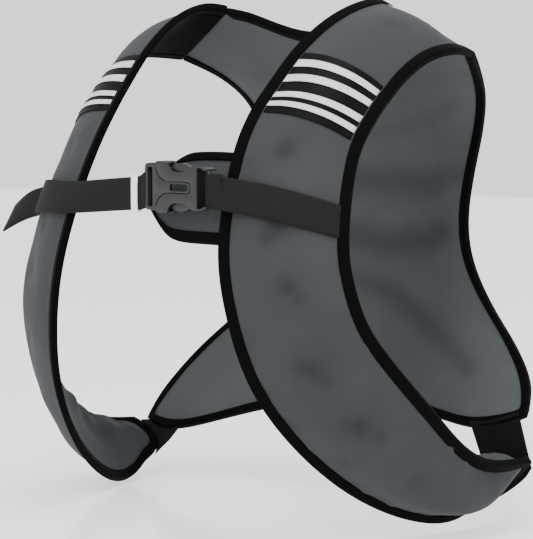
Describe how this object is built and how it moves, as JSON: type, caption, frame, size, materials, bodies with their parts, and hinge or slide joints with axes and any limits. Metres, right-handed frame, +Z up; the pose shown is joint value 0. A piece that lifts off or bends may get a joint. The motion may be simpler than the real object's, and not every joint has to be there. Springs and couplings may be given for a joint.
{
  "type": "weighted vest",
  "caption": "Padded weighted vest with two curved front panels, a waisted back panel, bound edges, striped shoulders, side elastics and a chest strap with a side-release buckle.",
  "frame": {"origin": "midway between the undersides of the two shoulder straps at their highest point, where the vest rests on the wearer's shoulders", "axes": "+Z up as worn, the wearer faces -Y, and +X is the wearer's left"},
  "size_m": [0.418, 0.3082, 0.4104],
  "materials": {
    "neoprene": "matt gray neoprene with a fine jersey face",
    "binding_tape": "black stretch binding tape",
    "shoulder_lining": "black smooth lining",
    "shoulder_band": "black woven band with a faint sheen",
    "white_stripe": "white-silver reflective tape",
    "elastic": "black ribbed elastic webbing",
    "buckle_plastic": "dark gray moulded plastic, satin"
  },
  "bodies": {
    "root": {"left_front_panel": "neoprene", "left_front_binding": "binding_tape", "left_shoulder_lining": "shoulder_lining", "left_shoulder_band": "shoulder_band", "left_stripe_1": "white_stripe", "left_stripe_2": "white_stripe", "left_stripe_3": "white_stripe", "left_stripe_4": "white_stripe", "right_front_panel": "neoprene", "right_front_binding": "binding_tape", "right_shoulder_lining": "shoulder_lining", "right_shoulder_band": "shoulder_band", "right_stripe_1": "white_stripe", "right_stripe_2": "white_stripe", "right_stripe_3": "white_stripe", "right_stripe_4": "white_stripe", "back_panel": "neoprene", "back_binding": "binding_tape", "back_neck_binding": "binding_tape", "left_side_elastic": "elastic", "right_side_elastic": "elastic", "buckle_socket": "buckle_plastic", "buckle_clip": "buckle_plastic", "left_chest_strap": "elastic", "right_chest_strap": "elastic", "strap_keeper": "white_stripe", "chest_pad": "neoprene", "chest_pad_binding": "binding_tape"}
  },
  "joints": []
}
